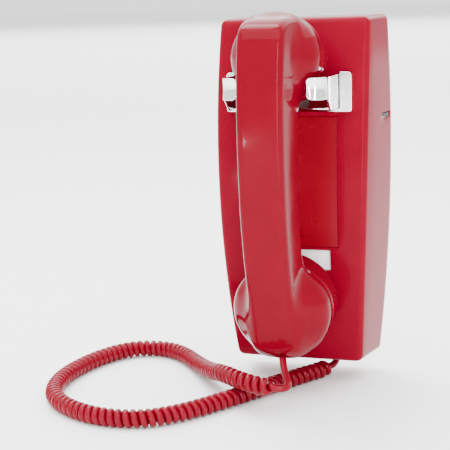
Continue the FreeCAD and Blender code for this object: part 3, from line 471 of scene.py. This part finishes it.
def surface_net(field, origin, step):
    """Turn a sampled distance field into a quad mesh by the naive surface net."""
    inside = field < 0
    corners = [(i, j, k) for i in (0, 1) for j in (0, 1) for k in (0, 1)]
    shape = [n - 1 for n in field.shape]

    def cut(values, corner):
        i, j, k = corner
        return values[i:i + shape[0], j:j + shape[1], k:k + shape[2]]

    total = np.zeros(shape + [3])
    number = np.zeros(shape)
    for a in corners:
        for axis in range(3):
            if a[axis]:
                continue
            b = tuple(1 if n == axis else a[n] for n in range(3))
            fa, fb = cut(field, a), cut(field, b)
            crossed = cut(inside, a) != cut(inside, b)
            share = np.where(crossed, fa / np.where(crossed, fa - fb, 1), 0)
            for n in range(3):
                total[..., n] += crossed * (a[n] + (share if n == axis else 0))
            number += crossed
    used = number > 0
    index = np.full(shape, -1)
    index[used] = np.arange(used.sum())
    cells = np.argwhere(used)
    points = (cells + total[used] / number[used][:, None]) * step + np.array(origin)
    faces = []
    for axis in range(3):
        u, v = [n for n in range(3) if n != axis]
        low = [slice(1, shape[n]) if n != axis else slice(0, shape[n]) for n in range(3)]
        here = inside[tuple(low)]
        ahead = inside[tuple(slice(s.start + (n == axis), s.stop + (n == axis)) for n, s in enumerate(low))]
        places = np.argwhere(here != ahead) + np.array([s.start for s in low])
        corner = []
        for du, dv in ((0, 0), (1, 0), (1, 1), (0, 1)):
            at = places.copy()
            at[:, u] -= du
            at[:, v] -= dv
            corner.append(index[tuple(at.T)])
        faces += np.stack(corner, 1).tolist()
    return points, faces


def make_handle():
    """Blend the handle into its two cups, cut the cups square at their rims and round each rim."""
    axes = [np.arange(a, b, GRID_STEP) for a, b in zip(HANDSET_LOW, HANDSET_HIGH)]
    x, y, z = np.meshgrid(*axes, indexing="ij")
    points, faces = surface_net(handset_distance(x, y, z), HANDSET_LOW, GRID_STEP)
    obj = mesh_object("handset_body", points, faces, 180)
    work = bmesh.new()
    work.from_mesh(obj.data)
    for _ in range(SMOOTH_PASSES):
        bmesh.ops.smooth_vert(work, verts=work.verts, factor=0.5,
                              use_axis_x=True, use_axis_y=True, use_axis_z=True)
    for centre, _, sign, _, _ in CUPS.values():
        near = [v for v in work.verts if v.co.z * sign > 0]
        parts = near + [e for e in work.edges if all(v.co.z * sign > 0 for v in e.verts)]
        parts += [f for f in work.faces if all(v.co.z * sign > 0 for v in f.verts)]
        made = bmesh.ops.bisect_plane(work, geom=parts, dist=1e-6, plane_co=centre * MM,
                                      plane_no=facing(sign), clear_outer=True)
        rim = [e for e in made["geom_cut"] if isinstance(e, bmesh.types.BMEdge)]
        bmesh.ops.holes_fill(work, edges=rim, sides=0)
        bmesh.ops.bevel(work, geom=rim, offset=RIM_EDGE * MM, segments=2, affect="EDGES", profile=0.5)
    bmesh.ops.recalc_face_normals(work, faces=work.faces)
    work.to_mesh(obj.data)
    work.free()
    obj.data.shade_smooth()
    obj.data.set_sharp_from_angle(angle=math.radians(50))
    return dress(obj, "red_plastic", HANDSET_RED, "handset", "handset_handle")


CAP_START, CAP_LIP, CAP_WALL, CAP_SHOULDER = 0.3, 0.5, 2.4, 7.5
# Steps of a cap's face and of its inside: in from its edge, and down from its top.
CAP_FACE = ((9, 0.25), (12, 0.9), (18, 1.8))
CAP_INSIDE = ((10, 3.4), (5.5, 4.4))
CAP_DISH, CAP_FLOOR, NEAR_AXIS = 2.4, 4.8, 0.01
DRILL_SIDES, DRILL_BELOW, DRILL_ABOVE = 16, 12, 4
# Rings of holes in each cap's face: distance from its middle, radius of a hole, and count.
CAPS = {
    "receiver": (19.0, ((0.0, 1.6, 1), (6.5, 1.6, 6))),
    "transmitter": (22.0, ((0.0, 1.3, 1), (5.5, 1.3, 6), (11.0, 1.3, 12), (16.5, 1.3, 18))),
}


def cap_rotation(sign):
    """Turn a lathed cap's axis to its cup's."""
    return facing(sign).to_track_quat("Z", "X").to_matrix()


def cap_profile(radius, length):
    """List a cap's closed section, from its rim over the shoulder and face and back along the inside."""
    profile = [(radius - CAP_WALL, CAP_START), (radius - CAP_LIP, CAP_START)]
    profile += arc_points((radius - CAP_LIP, CAP_START + CAP_LIP), CAP_LIP, -90, 0, 3)[1:]
    profile += [(radius, length * 0.3), (radius - 0.1, length - CAP_SHOULDER)]
    profile += arc_points((radius - CAP_SHOULDER, length - CAP_SHOULDER), CAP_SHOULDER - 0.1, 8, 90, 9)
    profile += [(radius - inward, length - down) for inward, down in CAP_FACE]
    profile += [(NEAR_AXIS, length - CAP_DISH), (NEAR_AXIS, length - CAP_FLOOR)]
    profile += [(radius - inward, length - down) for inward, down in CAP_INSIDE]
    profile += [(radius - CAP_WALL, length * 0.55)]
    return profile + [profile[0]]


def make_drill(kind, length, rings):
    """Make one mesh of all the round drills that pierce a cap's face."""
    centre, _, sign, _, _ = CUPS[kind]
    points, faces = [], []
    for distance, hole, count in rings:
        for number in range(count):
            turn = 2 * math.pi * number / count
            circles = []
            for h in (length - DRILL_BELOW, length + DRILL_ABOVE):
                circle = []
                for corner in range(DRILL_SIDES):
                    a = 2 * math.pi * corner / DRILL_SIDES
                    local = Vector((distance * math.cos(turn) + hole * math.cos(a),
                                    distance * math.sin(turn) + hole * math.sin(a), h))
                    circle.append(cap_rotation(sign) @ local + centre)
                circles.append(circle)
            drill_points, drill_faces = loft(circles)
            faces += [tuple(len(points) + n for n in face) for face in drill_faces]
            points += drill_points
    return mesh_object(f"{kind}_drill", points, faces)


def make_cap(kind):
    """Turn a cap with rounded rims and a dished, pierced face."""
    centre, radius, sign, _, _ = CUPS[kind]
    length, rings = CAPS[kind]
    points, faces = lathe(cap_profile(radius, length), centre, cap_rotation(sign))
    obj = mesh_object(f"{kind}_cap_shell", points, faces, 35, merge=0.02)
    drill = make_drill(kind, length, rings)
    pierce = obj.modifiers.new("holes", "BOOLEAN")
    pierce.operation, pierce.solver, pierce.object = "DIFFERENCE", "EXACT", drill
    apply_modifiers(obj)
    bpy.data.objects.remove(drill)
    obj.data.set_sharp_from_angle(angle=math.radians(35))
    return dress(obj, "red_plastic", HANDSET_RED, "handset", f"{kind}_cap")


def apply_modifiers(obj):
    """Replace a mesh by what its modifiers make of it."""
    graph = bpy.context.evaluated_depsgraph_get()
    made = bpy.data.meshes.new_from_object(obj.evaluated_get(graph))
    obj.modifiers.clear()
    obj.data = made


# ---------------------------------------------------------------- cradle

CRADLE_LOW, CRADLE_HIGH, CRADLE_FRONT = 57.3, 83.2, 57.2
CRADLE_HALF, FLANGE, RAIL = 42.5, 7.9, 2.3
METAL = 1.3
HORN_HALF, HORN_FRONT, HORN_GAP, HORN_TOP = 34.2, 99.0, 22.3, 82.2
BEZEL_BACK, BEZEL_TOP_ROUND, BEZEL_LOW_ROUND, BEZEL_TIP = 50.2, 2.2, 1.6, 0.4
HORN_BEND, HORN_LIP, HORN_STEPS = 8.0, 1.1, 8
HORN_SIDE = (-51.4, -58.0, -66.0, -74.0, -80.0)
# The rolled lip of a horn: x, and how far it stands before the lobe.
HORN_ROLL = ((25.6, 0.1), (24.1, 0.35), (23.2, 0.75))
LOBE_LOW, LOBE_LOW_ROUND, LOBE_HIGH_ROUND, LOBE_RUN = 68.0, 4.0, 3.0, 6.0
DISH, DISH_START = 1.3, -82.0
TRAY_LOW, TRAY_DEPTH, TRAY_MIDDLE = 60.0, 21.0, 63.5
STEM_WIDTH, STEM_DEPTH, STEM_MIDDLE = 24.0, 18.0, 45.0


def prism(name, outline, start, end):
    """Run an outline of (x, z) from one depth to another."""
    rings = [[(x, y, z) for x, z in outline] for y in (start, end)]
    points, faces = loft(rings)
    return mesh_object(name, points, faces, 35)


def make_bezel():
    """Make the fixed frame as one U, with rounded outer corners."""
    inner = CRADLE_HALF - FLANGE
    low_round, top_round = BEZEL_LOW_ROUND, BEZEL_TOP_ROUND
    half = arc_points((CRADLE_HALF - low_round, CRADLE_LOW + low_round), low_round, -90, 0, 4)
    half += arc_points((CRADLE_HALF - top_round, CRADLE_HIGH - top_round), top_round, 0, 90, 5)
    half += [(inner + BEZEL_TIP, CRADLE_HIGH), (inner, CRADLE_HIGH - BEZEL_TIP), (inner, CRADLE_LOW + RAIL)]
    outline = half + [(-x, z) for x, z in reversed(half)]
    obj = prism("cradle_frame", outline, -CRADLE_FRONT, -BEZEL_BACK)
    soften(obj, 0.75, 4, 35)
    return dress(obj, "chrome", CHROME, "base", "cradle_bezel")


def horn_path(side):
    """Follow a horn in plan: forward along the cap, round the bend and in across the cup to a rolled lip."""
    middle = HORN_HALF - METAL / 2
    front = HORN_FRONT - METAL / 2 - HORN_LIP
    path = [(middle, y) for y in HORN_SIDE]
    path += arc_points((middle - HORN_BEND, -(front - HORN_BEND)), HORN_BEND, 0, -80, 10)
    path += [(x, -front - ahead) for x, ahead in HORN_ROLL] + [(HORN_GAP + 0.2, -front - HORN_LIP)]
    return [(side * x, y) for x, y in path]


def lobe_corner(x, corner):
    """Say how far a lobe's edge draws in near its tip, to round the corner there."""
    tip = max(0.0, (HORN_GAP + corner - abs(x)) / corner)
    return corner * (1 - math.sqrt(max(0.0, 1 - tip ** 2)))


def horn_low(y, x):
    """Say how low a horn reaches: to the tray beside the cap, and rising to the lobe's lower edge."""
    if y > HORN_SIDE[-1]:
        return TRAY_LOW
    rise = min(1.0, (HORN_SIDE[-1] - y) / LOBE_RUN)
    low = TRAY_LOW + (LOBE_LOW - TRAY_LOW) * math.sin(rise * math.pi / 2)
    return low + lobe_corner(x, LOBE_LOW_ROUND)


def horn_high(x):
    """Say how high a horn reaches."""
    return HORN_TOP - 0.2 - lobe_corner(x, LOBE_HIGH_ROUND)


def horn_row(x, y):
    """List a horn's points from its lower edge to its upper edge, dished where it is a lobe."""
    low, high = horn_low(y, x), horn_high(x)
    dish = DISH * min(1.0, max(0.0, (DISH_START - y) / LOBE_RUN))
    row = []
    for step in range(HORN_STEPS + 1):
        share = step / HORN_STEPS
        row.append((x, y + dish * math.sin(math.pi * share), low + (high - low) * share))
    return row


def hook_plate(name, width, depth, corner, middle):
    """Make a level plate of the hook, its middle at a depth."""
    outline = rounded_rectangle(width, depth, corner)
    rings = [[(x, y - middle, z) for x, y in outline] for z in (TRAY_LOW, TRAY_LOW + METAL)]
    return mesh_object(name, *loft(rings))


def make_hook():
    """Make the moving hook: two horns bent from sheet, the tray between them and its stem."""
    made = []
    for name, side in (("left", -1), ("right", 1)):
        rows = [horn_row(x, y) for x, y in horn_path(side)]
        points, faces = loft(rows, closed=False, capped=False)
        horn = mesh_object(f"horn_{name}", points, faces, 60)
        wall = horn.modifiers.new("wall", "SOLIDIFY")
        wall.thickness, wall.offset, wall.use_even_offset = METAL * MM, 0, True
        soften(horn, 0.45, 3, 50)
        made.append(horn)
    plate = hook_plate("hook_tray", 2 * HORN_HALF - 0.2, TRAY_DEPTH, 2.0, TRAY_MIDDLE)
    soften(plate, 0.4, 3, 50)
    neck = hook_plate("hook_stem", STEM_WIDTH, STEM_DEPTH, 1.0, STEM_MIDDLE)
    made += [plate, neck]
    for piece in made:
        dress(piece, "chrome", CHROME, "hook")
    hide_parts("cradle_hook")


# ---------------------------------------------------------------- front furniture

BLANK_HALF, BLANK_LOW, BLANK_HIGH = 31.75, -33.75, 53.75
BLANK_THICK, BLANK_RECESS, BLANK_STEPS = 2.4, 0.6, 14
SLOT_LEFT, SLOT_RIGHT, SLOT_LOW, SLOT_HIGH, SLOT_FRONT, SLOT_BACK = 2.2, 8.5, -27.3, -26.1, -57.0, -53.3
CARD_LEAN, CARD_CORNER = 5.4, 0.8


def tilted_plate(name, width, height, thick, centre):
    """Make a plate with rounded corners that leans with the front, its front face's middle at a place."""
    turn = Matrix.Rotation(math.radians(CARD_LEAN), 3, "X")
    outline = rounded_rectangle(width, height, CARD_CORNER)
    rings = [[turn @ Vector((x, y, z)) + Vector(centre) for x, z in outline] for y in (0.0, thick)]
    return mesh_object(name, *loft(rings))


def make_blank():
    """Make the plate in the dial's place, bowed like the housing's front, with its small slot."""
    rows = []
    for step in range(BLANK_STEPS + 1):
        level = BLANK_LOW + (BLANK_HIGH - BLANK_LOW) * step / BLANK_STEPS
        front = BLANK_RECESS - np.polyval(FRONT_BOW, level)
        back = front + BLANK_THICK
        rows.append([(-BLANK_HALF, front, level), (BLANK_HALF, front, level),
                     (BLANK_HALF, back, level), (-BLANK_HALF, back, level)])
    blank = mesh_object("blank_plate", *loft(rows))
    corners = [(SLOT_LEFT, SLOT_LOW), (SLOT_RIGHT, SLOT_LOW), (SLOT_RIGHT, SLOT_HIGH), (SLOT_LEFT, SLOT_HIGH)]
    slot = prism("blank_slot", corners, SLOT_FRONT, SLOT_BACK)
    cut = blank.modifiers.new("slot", "BOOLEAN")
    cut.operation, cut.solver, cut.object = "DIFFERENCE", "EXACT", slot
    soften(blank, 0.5, 3)
    apply_modifiers(blank)
    bpy.data.objects.remove(slot)
    return dress(blank, "blank_red", BLANK_RED, "base", "dial_blank")


def make_front_pieces():
    """Make the dial's blank, the number card and its clear cover."""
    make_blank()
    card = tilted_plate("number_sheet", 51.8, 13.8, 0.5, (0, -51.4, -42.9))
    dress(card, "card", CARD, "base", "number_card")
    cover = tilted_plate("card_cover", 51.9, 13.9, 0.95, (0, -52.4, -43.0))
    soften(cover, 0.25, 2)
    dress(cover, "clear_plastic", CLEAR, "base", "card_window")


# ---------------------------------------------------------------- cord

WIRE, COIL_WIDE, PITCH = 4.8, 12.3, 5.3
BASE_LEAD, HANDSET_LEAD, COIL_FADE = 16.0, 33.0, 7.0
# The pitch loosens and tightens a little in two waves: each one's share, and the run that it takes.
LONG_WAVE, LONG_RUN, SHORT_WAVE, SHORT_RUN, SHORT_START = 0.05, 41.0, 0.03, 17.0, 1.0
ROUTE_STEP, WIRE_STEP, WIRE_SIDES = 0.25, 1.55, 10
# The route's points repeat the CAD route's, from the gland along the floor and up to the handset.
ROUTE = [
    (22.0, -17.0, -114.5), (22.0, -17.0, -120.8), (20.5, -21.0, -125.0), (16.0, -29.5, -125.85),
    (2.0, -52.5, -125.85), (-12.0, -76.0, -125.85), (-24.0, -98.0, -125.85), (-36.0, -119.0, -125.85),
    (-50.0, -141.0, -125.85), (-70.0, -160.0, -125.85), (-99.0, -162.0, -125.85), (-127.0, -150.0, -125.85),
    (-149.0, -128.0, -125.85), (-158.5, -97.0, -125.85), (-158.0, -65.0, -125.85), (-151.0, -36.0, -125.85),
    (-141.0, -17.0, -125.85), (-127.0, -7.5, -125.85), (-108.0, -9.0, -125.85), (-92.0, -20.0, -125.85),
    (-76.0, -40.0, -125.4), (-57.0, -68.0, -121.0), (-39.0, -94.0, -113.4), (-22.0, -110.0, -112.3),
    (-5.0, -117.0, -113.2), (6.5, -117.5, -113.8), (12.2, -113.5, -113.6), (9.6, -107.8, -110.6),
    (6.6, -102.6, -107.0), (4.4, -98.6, -103.0), (3.2, -95.0, -99.5),
]


def smooth_route():
    """Read the route as one smooth line of points in millimetres."""
    curve = bpy.data.curves.new("route", "CURVE")
    curve.dimensions = "3D"
    curve.resolution_u = 24
    spline = curve.splines.new("NURBS")
    spline.points.add(len(ROUTE) - 1)
    for point, place in zip(spline.points, ROUTE):
        point.co = (*place, 1.0)
    spline.order_u = 3
    spline.use_endpoint_u = True
    holder = link("route", curve)
    bpy.context.view_layer.update()
    line = bpy.data.meshes.new_from_object(holder)
    points = np.array([v.co for v in line.vertices], float)
    bpy.data.objects.remove(holder)
    bpy.data.meshes.remove(line)
    return points


def even_line(points, step):
    """Space a line's points evenly."""
    run = np.concatenate([[0], np.cumsum(np.linalg.norm(np.diff(points, axis=0), axis=1))])
    places = np.linspace(0, run[-1], max(2, int(run[-1] / step) + 1))
    return np.stack([np.interp(places, run, points[:, n]) for n in range(3)], 1), places


def carried_frames(points):
    """Carry one sideways direction along a line without twist."""
    tangents = np.gradient(points, axis=0)
    tangents /= np.linalg.norm(tangents, axis=1)[:, None]
    side = np.cross(tangents[0], (0, 1, 0))
    sides = []
    for tangent in tangents:
        side = side - tangent * (side @ tangent)
        side /= np.linalg.norm(side)
        sides.append(side)
    sides = np.array(sides)
    return tangents, sides, np.cross(tangents, sides)


def tube(points, radius, count):
    """Lay a tube of a round section along a line."""
    _, sides, ups = carried_frames(points)
    rings = []
    for point, side, up in zip(points, sides, ups):
        ring = []
        for k in range(count):
            turn = 2 * math.pi * k / count
            ring.append(point + radius * (math.cos(turn) * side + math.sin(turn) * up))
        rings.append(ring)
    return loft(rings)


def make_cord():
    """Wind the wire into its helix along the route, with a straight lead at each end."""
    line, run = even_line(smooth_route(), ROUTE_STEP)
    _, sides, ups = carried_frames(line)
    last = run[-1] - HANDSET_LEAD
    swell = np.clip(np.minimum((run - BASE_LEAD) / COIL_FADE, (last - run) / COIL_FADE), 0, 1)
    swell = swell * swell * (3 - 2 * swell)
    slack = 1 + LONG_WAVE * np.sin(run / LONG_RUN) + SHORT_WAVE * np.sin(run / SHORT_RUN + SHORT_START)
    turning = np.cumsum(np.gradient(run) / (PITCH * slack)) * 2 * math.pi
    coil = (COIL_WIDE - WIRE) / 2 * swell
    wire = line + coil[:, None] * (np.cos(turning)[:, None] * sides + np.sin(turning)[:, None] * ups)
    wire[:, 2] = np.maximum(wire[:, 2], FLOOR + WIRE / 2)
    wire, places = even_line(wire, WIRE_STEP)
    points, faces = tube(wire, WIRE / 2, WIRE_SIDES)
    obj = mesh_object("curly_cord", points, faces, 180)
    dress(obj, "cord_red", CORD_RED, None, "cord_coil", "cord_lead_handset", "cord_lead_base")
    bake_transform(obj)


# ---------------------------------------------------------------- pieces carried over from the frame

CARRIED = {
    "plated_steel": (STEEL, ("base_plate", "blank_bracket", "card_holder", "hook_lever", "hook_bracket",
                             "gong_posts", "gong_screws", "ringer_frame", "network_spacers",
                             "housing_screws")),
    "spring_steel": (SPRING_STEEL, ("hook_pin", "hook_spring", "clapper_pin")),
    "brass": (BRASS, ("switch_blades", "gong_left", "gong_right", "clapper", "network_terminals")),
    "soft_iron": (IRON, ("ringer_core",)),
    "winding": (WINDING, ("ringer_coil",)),
    "switch_plastic": (BLACK, ("switch_stack", "volume_control")),
    "capsule_black": (BLACK, ("transmitter_cup",)),
    "network_case": (CASE, ("network_block",)),
    "capsule_metal": (ALLOY, ("receiver_capsule", "transmitter_capsule")),
    "plug_clear": (CLEAR_PLUG, ("wall_plug",)),
    "wheel_grey": (GREY, ("volume_wheel",)),
    "cord_red": (CORD_RED, ("cord_grommet",)),
}


def dress_carried():
    """Give the frame's own nodes their materials."""
    for slot, (material, names) in CARRIED.items():
        for name in names:
            obj = NODES[name]
            obj.data.materials.clear()
            obj.data.materials.append(material)


make_camera()
make_studio()
make_housing()
make_handle()
for kind in CAPS:
    make_cap(kind)
make_bezel()
make_hook()
make_front_pieces()
make_cord()
dress_carried()
